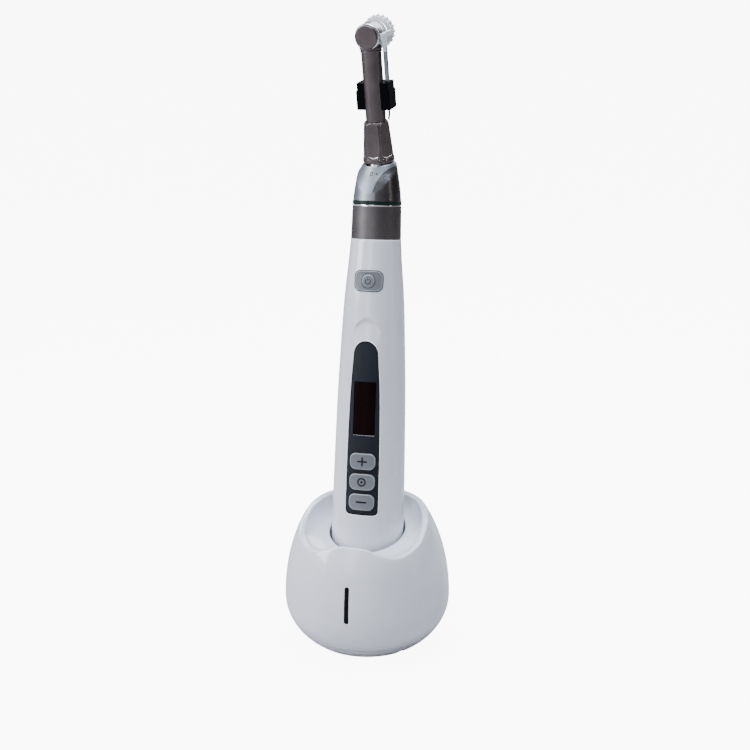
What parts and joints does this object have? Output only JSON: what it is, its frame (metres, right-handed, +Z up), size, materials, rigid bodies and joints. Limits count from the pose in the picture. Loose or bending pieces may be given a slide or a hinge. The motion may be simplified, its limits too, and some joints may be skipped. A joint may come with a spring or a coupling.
{
  "type": "endodontic motor",
  "caption": "Cordless endodontic handpiece with a reduction contra-angle and file electrode, leaning in a round charging dock.",
  "frame": {"origin": "on the floor under the centre of the round dock", "axes": "+Z up, -Y towards the front, the side of the handpiece's keys and the dock's light slot"},
  "size_m": [0.071, 0.071, 0.2624],
  "materials": {
    "white_gloss": "gloss",
    "black_rubber": "matte",
    "plated_steel": "satin",
    "circuit_board": "matte",
    "dark_lens": "gloss",
    "black_plastic": "satin",
    "gold_contact": "polished",
    "panel_slate": "satin",
    "screen_glass": "gloss",
    "key_grey": "satin",
    "battery_wrap": "gloss",
    "dark_magnet": "satin",
    "copper_winding": "satin",
    "satin_steel": "satin",
    "bright_steel": "satin",
    "green_ring": "satin",
    "bronze": "satin",
    "clear_plastic": "gloss"
  },
  "bodies": {
    "dock": {"dock_shell": "white_gloss", "dock_bottom_tray": "white_gloss", "dock_foot_ring": "black_rubber", "dock_screws": "plated_steel", "dock_ballast": "plated_steel", "dock_circuit_board": "circuit_board", "dock_light_pipe": "dark_lens", "dock_power_inlet": "black_plastic", "dock_socket_liner": "white_gloss", "dock_contact_board": "circuit_board"},
    "charge_pin_left": {"dock_charge_pin_left": "gold_contact"},
    "charge_pin_right": {"dock_charge_pin_right": "gold_contact"},
    "handpiece": {"front_housing": "white_gloss", "rear_housing": "white_gloss", "end_cap": "white_gloss", "charge_contacts": "gold_contact", "display_panel": "panel_slate", "display_window": "screen_glass", "display_module": "black_plastic", "power_plate": "key_grey", "main_circuit_board": "circuit_board", "power_switch_board": "circuit_board", "battery_cell": "battery_wrap", "inner_chassis": "black_plastic", "battery_contacts": "plated_steel", "motor_can": "plated_steel", "motor_magnet": "dark_magnet", "nose_collar": "satin_steel", "coupling_spigot": "plated_steel", "spigot_seals": "black_rubber"},
    "plus_key": {"plus_button": "key_grey"},
    "select_key": {"select_button": "key_grey"},
    "minus_key": {"minus_button": "key_grey"},
    "power_key": {"power_button": "key_grey"},
    "rotor": {"motor_rotor": "copper_winding", "motor_shaft": "plated_steel"},
    "contra_angle": {"ratio_ring": "green_ring", "angle_cone": "satin_steel", "taper_sleeve": "satin_steel", "neck_tube": "satin_steel", "head_housing": "bright_steel", "head_bearings": "plated_steel", "neck_bushes": "bronze", "stage_ring_gear": "plated_steel", "input_bearing": "plated_steel", "electrode_clip": "black_plastic", "electrode_arm": "plated_steel", "electrode_holder": "clear_plastic", "electrode_lead": "black_rubber"},
    "head_cap": {"push_cap": "satin_steel"},
    "sun_shaft": {"input_shaft": "plated_steel"},
    "carrier": {"planet_carrier": "plated_steel"},
    "planet_1": {"planet_gear_1": "plated_steel"},
    "planet_2": {"planet_gear_2": "plated_steel"},
    "planet_3": {"planet_gear_3": "plated_steel"},
    "neck_drive": {"drive_shaft": "plated_steel"},
    "chuck": {"chuck_spindle": "plated_steel", "head_gear": "plated_steel"}
  },
  "joints": [
    {"name": "handpiece_lift", "type": "slide", "parent": "dock", "child": "handpiece", "axis": [0, 0.1219, 0.9925], "range_m": [0, 0.05]},
    {"name": "charge_pin_left_slide", "type": "slide", "parent": "dock", "child": "charge_pin_left", "axis": [0, 0.1219, 0.9925], "range_m": [-0.0007, 0], "stiffness_N_per_m": 200},
    {"name": "charge_pin_right_slide", "type": "slide", "parent": "dock", "child": "charge_pin_right", "axis": [0, 0.1219, 0.9925], "range_m": [-0.0007, 0], "stiffness_N_per_m": 200},
    {"name": "plus_press", "type": "slide", "parent": "handpiece", "child": "plus_key", "axis": [0, 0.9925, -0.1219], "range_m": [0, 0.0004], "stiffness_N_per_m": 600},
    {"name": "select_press", "type": "slide", "parent": "handpiece", "child": "select_key", "axis": [0, 0.9925, -0.1219], "range_m": [0, 0.0004], "stiffness_N_per_m": 600},
    {"name": "minus_press", "type": "slide", "parent": "handpiece", "child": "minus_key", "axis": [0, 0.9925, -0.1219], "range_m": [0, 0.0004], "stiffness_N_per_m": 600},
    {"name": "power_press", "type": "slide", "parent": "handpiece", "child": "power_key", "axis": [0, 0.9925, -0.1219], "range_m": [0, 0.0004], "stiffness_N_per_m": 600},
    {"name": "contra_angle_turn", "type": "hinge", "parent": "handpiece", "child": "contra_angle", "pos_m": [0, 0.01728, 0.18674], "axis": [0, 0.1219, 0.9925], "continuous": true},
    {"name": "head_cap_press", "type": "slide", "parent": "contra_angle", "child": "head_cap", "axis": [0.1255, 0.9795, 0.1574], "range_m": [0, 0.0007], "stiffness_N_per_m": 2000},
    {"name": "neck_drive_spin", "type": "hinge", "parent": "contra_angle", "child": "neck_drive", "pos_m": [-0.00072, 0.01666, 0.22654], "axis": [-0.036, -0.1541, 0.9874], "continuous": true},
    {"name": "chuck_spin", "type": "hinge", "parent": "contra_angle", "child": "chuck", "pos_m": [-0.00135, 0.0153, 0.25456], "axis": [0.1255, 0.9795, 0.1574], "continuous": true},
    {"name": "carrier_spin", "type": "hinge", "parent": "contra_angle", "child": "carrier", "pos_m": [0, 0.01917, 0.20213], "axis": [0, 0.1219, 0.9925], "continuous": true},
    {"name": "sun_shaft_spin", "type": "hinge", "parent": "contra_angle", "child": "sun_shaft", "pos_m": [0, 0.01826, 0.19468], "axis": [0, 0.1219, 0.9925], "continuous": true},
    {"name": "motor_spin", "type": "hinge", "parent": "handpiece", "child": "rotor", "pos_m": [0, 0.01314, 0.153], "axis": [0, 0.1219, 0.9925], "continuous": true},
    {"name": "planet_1_spin", "type": "hinge", "parent": "carrier", "child": "planet_1", "pos_m": [0.00293, 0.0196, 0.20026], "axis": [0, 0.1219, 0.9925], "continuous": true},
    {"name": "planet_2_spin", "type": "hinge", "parent": "carrier", "child": "planet_2", "pos_m": [-0.00203, 0.02115, 0.20007], "axis": [0, 0.1219, 0.9925], "continuous": true},
    {"name": "planet_3_spin", "type": "hinge", "parent": "carrier", "child": "planet_3", "pos_m": [-0.0009, 0.01611, 0.20069], "axis": [0, 0.1219, 0.9925], "continuous": true}
  ],
  "couplings": [
    {"joint": "chuck_spin", "follows": "neck_drive_spin", "ratio": 0.75},
    {"joint": "carrier_spin", "follows": "neck_drive_spin", "ratio": 1},
    {"joint": "sun_shaft_spin", "follows": "neck_drive_spin", "ratio": 3},
    {"joint": "motor_spin", "follows": "neck_drive_spin", "ratio": 3},
    {"joint": "planet_1_spin", "follows": "neck_drive_spin", "ratio": -4},
    {"joint": "planet_2_spin", "follows": "neck_drive_spin", "ratio": -4},
    {"joint": "planet_3_spin", "follows": "neck_drive_spin", "ratio": -4}
  ]
}
